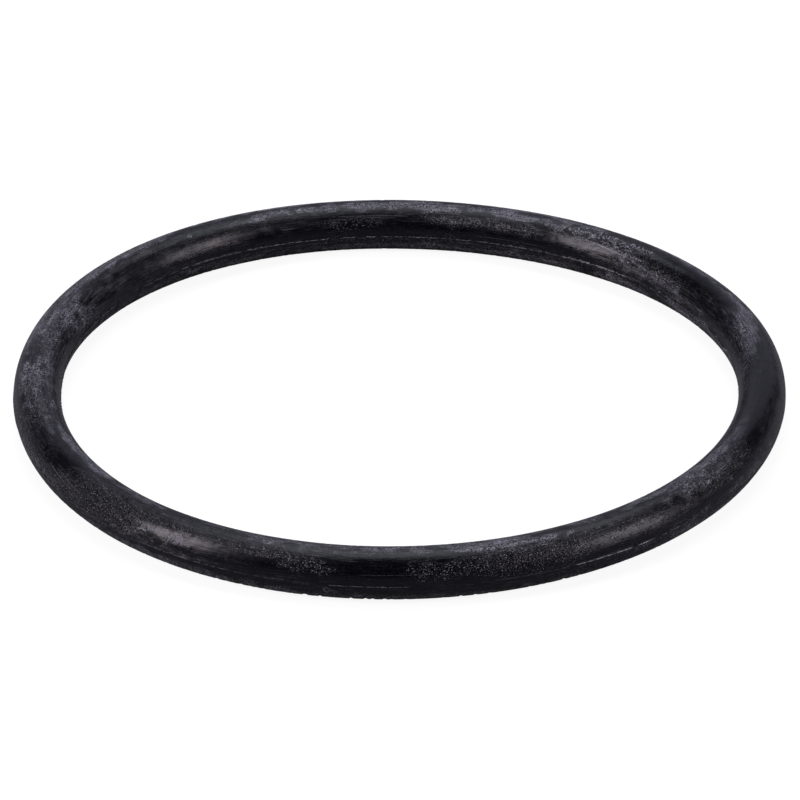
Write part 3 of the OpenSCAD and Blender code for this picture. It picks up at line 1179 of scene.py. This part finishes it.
def tint_for_camera(tree, tint):
    """White for rays from the camera, and the tint for all others."""
    from_camera = add(tree, "ShaderNodeLightPath").outputs["Is Camera Ray"]
    mix = add(tree, "ShaderNodeMix", {"Factor": from_camera, "A": tint, "B": WHITE}, data_type="RGBA")
    return mix.outputs["Result"]


def make_paper():
    """Grey paint plus a glow that only the rays in seen_rays see."""
    material = bpy.data.materials.new("white_paper")
    tree = new_tree(material)
    paint = add(tree, "ShaderNodeBsdfDiffuse", {"Color": PAPER_GREY})
    glow = add(tree, "ShaderNodeEmission", {"Color": tint_for_camera(tree, MIRRORED_TINT),
                                            "Strength": times(tree, seen_rays(tree), PAPER_LIFT)})
    both = add(tree, "ShaderNodeAddShader", {0: paint.outputs[0], 1: glow.outputs[0]})
    add(tree, "ShaderNodeOutputMaterial", {"Surface": both.outputs[0]})
    return material


paper = make_paper()
sweep.data.materials.append(paper)
print(paper.name, "has", len(paper.node_tree.nodes), "nodes")

# %% [markdown]
# ## Light
# Black rubber shows its shape by what it mirrors. A wide soft box hangs nearly overhead, a little
# behind the ring, and draws the pale band along its top. Two smaller upright boxes stand low at the
# left and the right, slightly to the viewer's side. The left one gives the highlights at near left
# and far right, the right one those at near right and far left. The front stays dark, which gives
# the deep black band.

# %% Lamps
TOP_COLOUR = (0.905, 0.932, 1.04)
SIDE_COLOUR = (1.02, 0.935, 1.01)
# (name, direction, distance, width, height, radiance, colour)
SOFT_BOXES = [
    ("top_box", (0.04, 0.30, 0.95), 1.0, 0.78, 0.84, 2.6, TOP_COLOUR),
    ("left_box", (-0.80, -0.31, 0.425), 0.9, 0.25, 0.48, 12.3, SIDE_COLOUR),
    ("right_box", (0.83, -0.32, 0.42), 0.9, 0.26, 0.44, 8.4, SIDE_COLOUR),
]


def soft_box(name, direction, distance, width, height, radiance, colour):
    """A rectangular area lamp that faces the ring. Its power is radiance times pi times its area."""
    lamp = bpy.data.lights.new(name, "AREA")
    lamp.shape = "RECTANGLE"
    lamp.size = width
    lamp.size_y = height
    lamp.color = colour
    lamp.energy = radiance * math.pi * width * height
    made = bpy.data.objects.new(name, lamp)
    way = Vector(direction).normalized()
    made.location = way * distance
    made.rotation_euler = way.to_track_quat("Z", "Y").to_euler()
    made.visible_camera = False
    bpy.context.scene.collection.objects.link(made)
    print(f"{name}: {lamp.energy:.2f} W, {width} by {height} m")


for box in SOFT_BOXES:
    soft_box(*box)

# %% [markdown]
# ## The room
# Past the edge of the sweep the camera sees plain white. For everything else the world is a dim,
# slightly blue room, just enough to keep the shaded side of the ring from going fully black.

# %% World
AMBIENT = 0.03
AMBIENT_TINT = (0.88, 0.95, 1.18, 1)


def make_world():
    """White where the camera looks past the sweep, and a dim room for everything else."""
    world = bpy.data.worlds.new("studio_room")
    bpy.context.scene.world = world
    tree = new_tree(world)
    from_camera = add(tree, "ShaderNodeLightPath").outputs["Is Camera Ray"]
    strength = ramp(tree, from_camera, 1 - AMBIENT, AMBIENT)
    tint = tint_for_camera(tree, AMBIENT_TINT)
    background = add(tree, "ShaderNodeBackground", {"Color": tint, "Strength": strength})
    add(tree, "ShaderNodeOutputWorld", {"Surface": background.outputs[0]})
    print(f"room light: {AMBIENT}")


make_world()

# %% [markdown]
# ## Camera
# The camera stands well back with a long lens and looks down at about 29 degrees, so the near and
# the far side of the ring are nearly the same thickness. It aims a little in front of the middle,
# because the ring sits slightly high in the picture. Its tilt, roll, distance, lens and aim come from
# the same fit as the lobes.

# %% Camera
CAMERA_ELEVATION_DEG = 28.90
CAMERA_ROLL_DEG = 0.157
CAMERA_DISTANCE = 0.7526
SENSOR_MM = 36
LENS_MM = 315.8
FARTHEST_SEEN = 20
AIM_X = 0.30 * MM
AIM_Y = -2.26 * MM


def make_camera():
    """A camera on the viewer's side of the ring, aimed at a point near its middle."""
    data = bpy.data.cameras.new("camera")
    data.sensor_width = SENSOR_MM
    data.lens = LENS_MM
    data.clip_end = FARTHEST_SEEN
    made = bpy.data.objects.new("camera", data)
    tilt = math.radians(CAMERA_ELEVATION_DEG)
    middle = Vector((-centre_x, -centre_y, half_h))
    made.location = middle + CAMERA_DISTANCE * Vector((0, -math.cos(tilt), math.sin(tilt)))
    aim = middle + Vector((AIM_X, AIM_Y, 0))
    made.rotation_euler = (aim - made.location).to_track_quat("-Z", "Y").to_euler()
    made.rotation_euler.rotate_axis("Z", math.radians(CAMERA_ROLL_DEG))
    bpy.context.scene.collection.objects.link(made)
    bpy.context.scene.camera = made
    print("camera at", [round(v, 3) for v in made.location], "m")


make_camera()
bpy.context.scene.view_settings.view_transform = "Standard"
